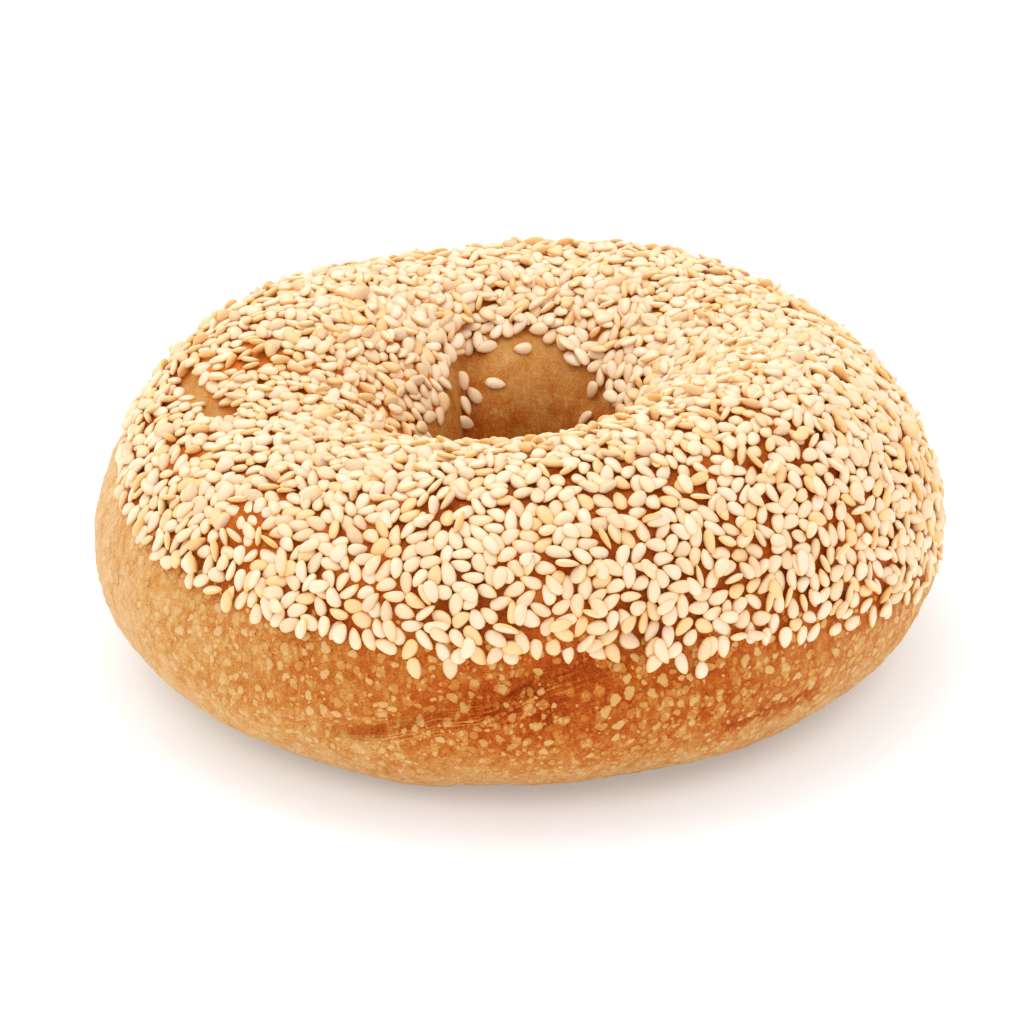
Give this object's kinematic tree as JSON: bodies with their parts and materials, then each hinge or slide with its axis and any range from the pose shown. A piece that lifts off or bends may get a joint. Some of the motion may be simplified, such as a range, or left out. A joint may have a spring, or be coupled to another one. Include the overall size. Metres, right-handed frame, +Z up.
{
  "type": "sesame bagel",
  "caption": "Hand-rolled ring of baked bread with a blistered golden-brown crust, a fold at the front, a round hole and a crown thickly covered with sesame seeds.",
  "frame": {"origin": "on the table, under the middle of the ring", "axes": "+Z up through the hole, -Y towards the front with the fold in the crust, +X to the right of that front"},
  "size_m": [0.1156, 0.1171, 0.0454],
  "materials": {
    "crust": "satin baked crust with pale blisters",
    "sesame": "hulled sesame seed, smooth and slightly translucent"
  },
  "bodies": {
    "root": {"bagel": "crust"}
  },
  "joints": []
}
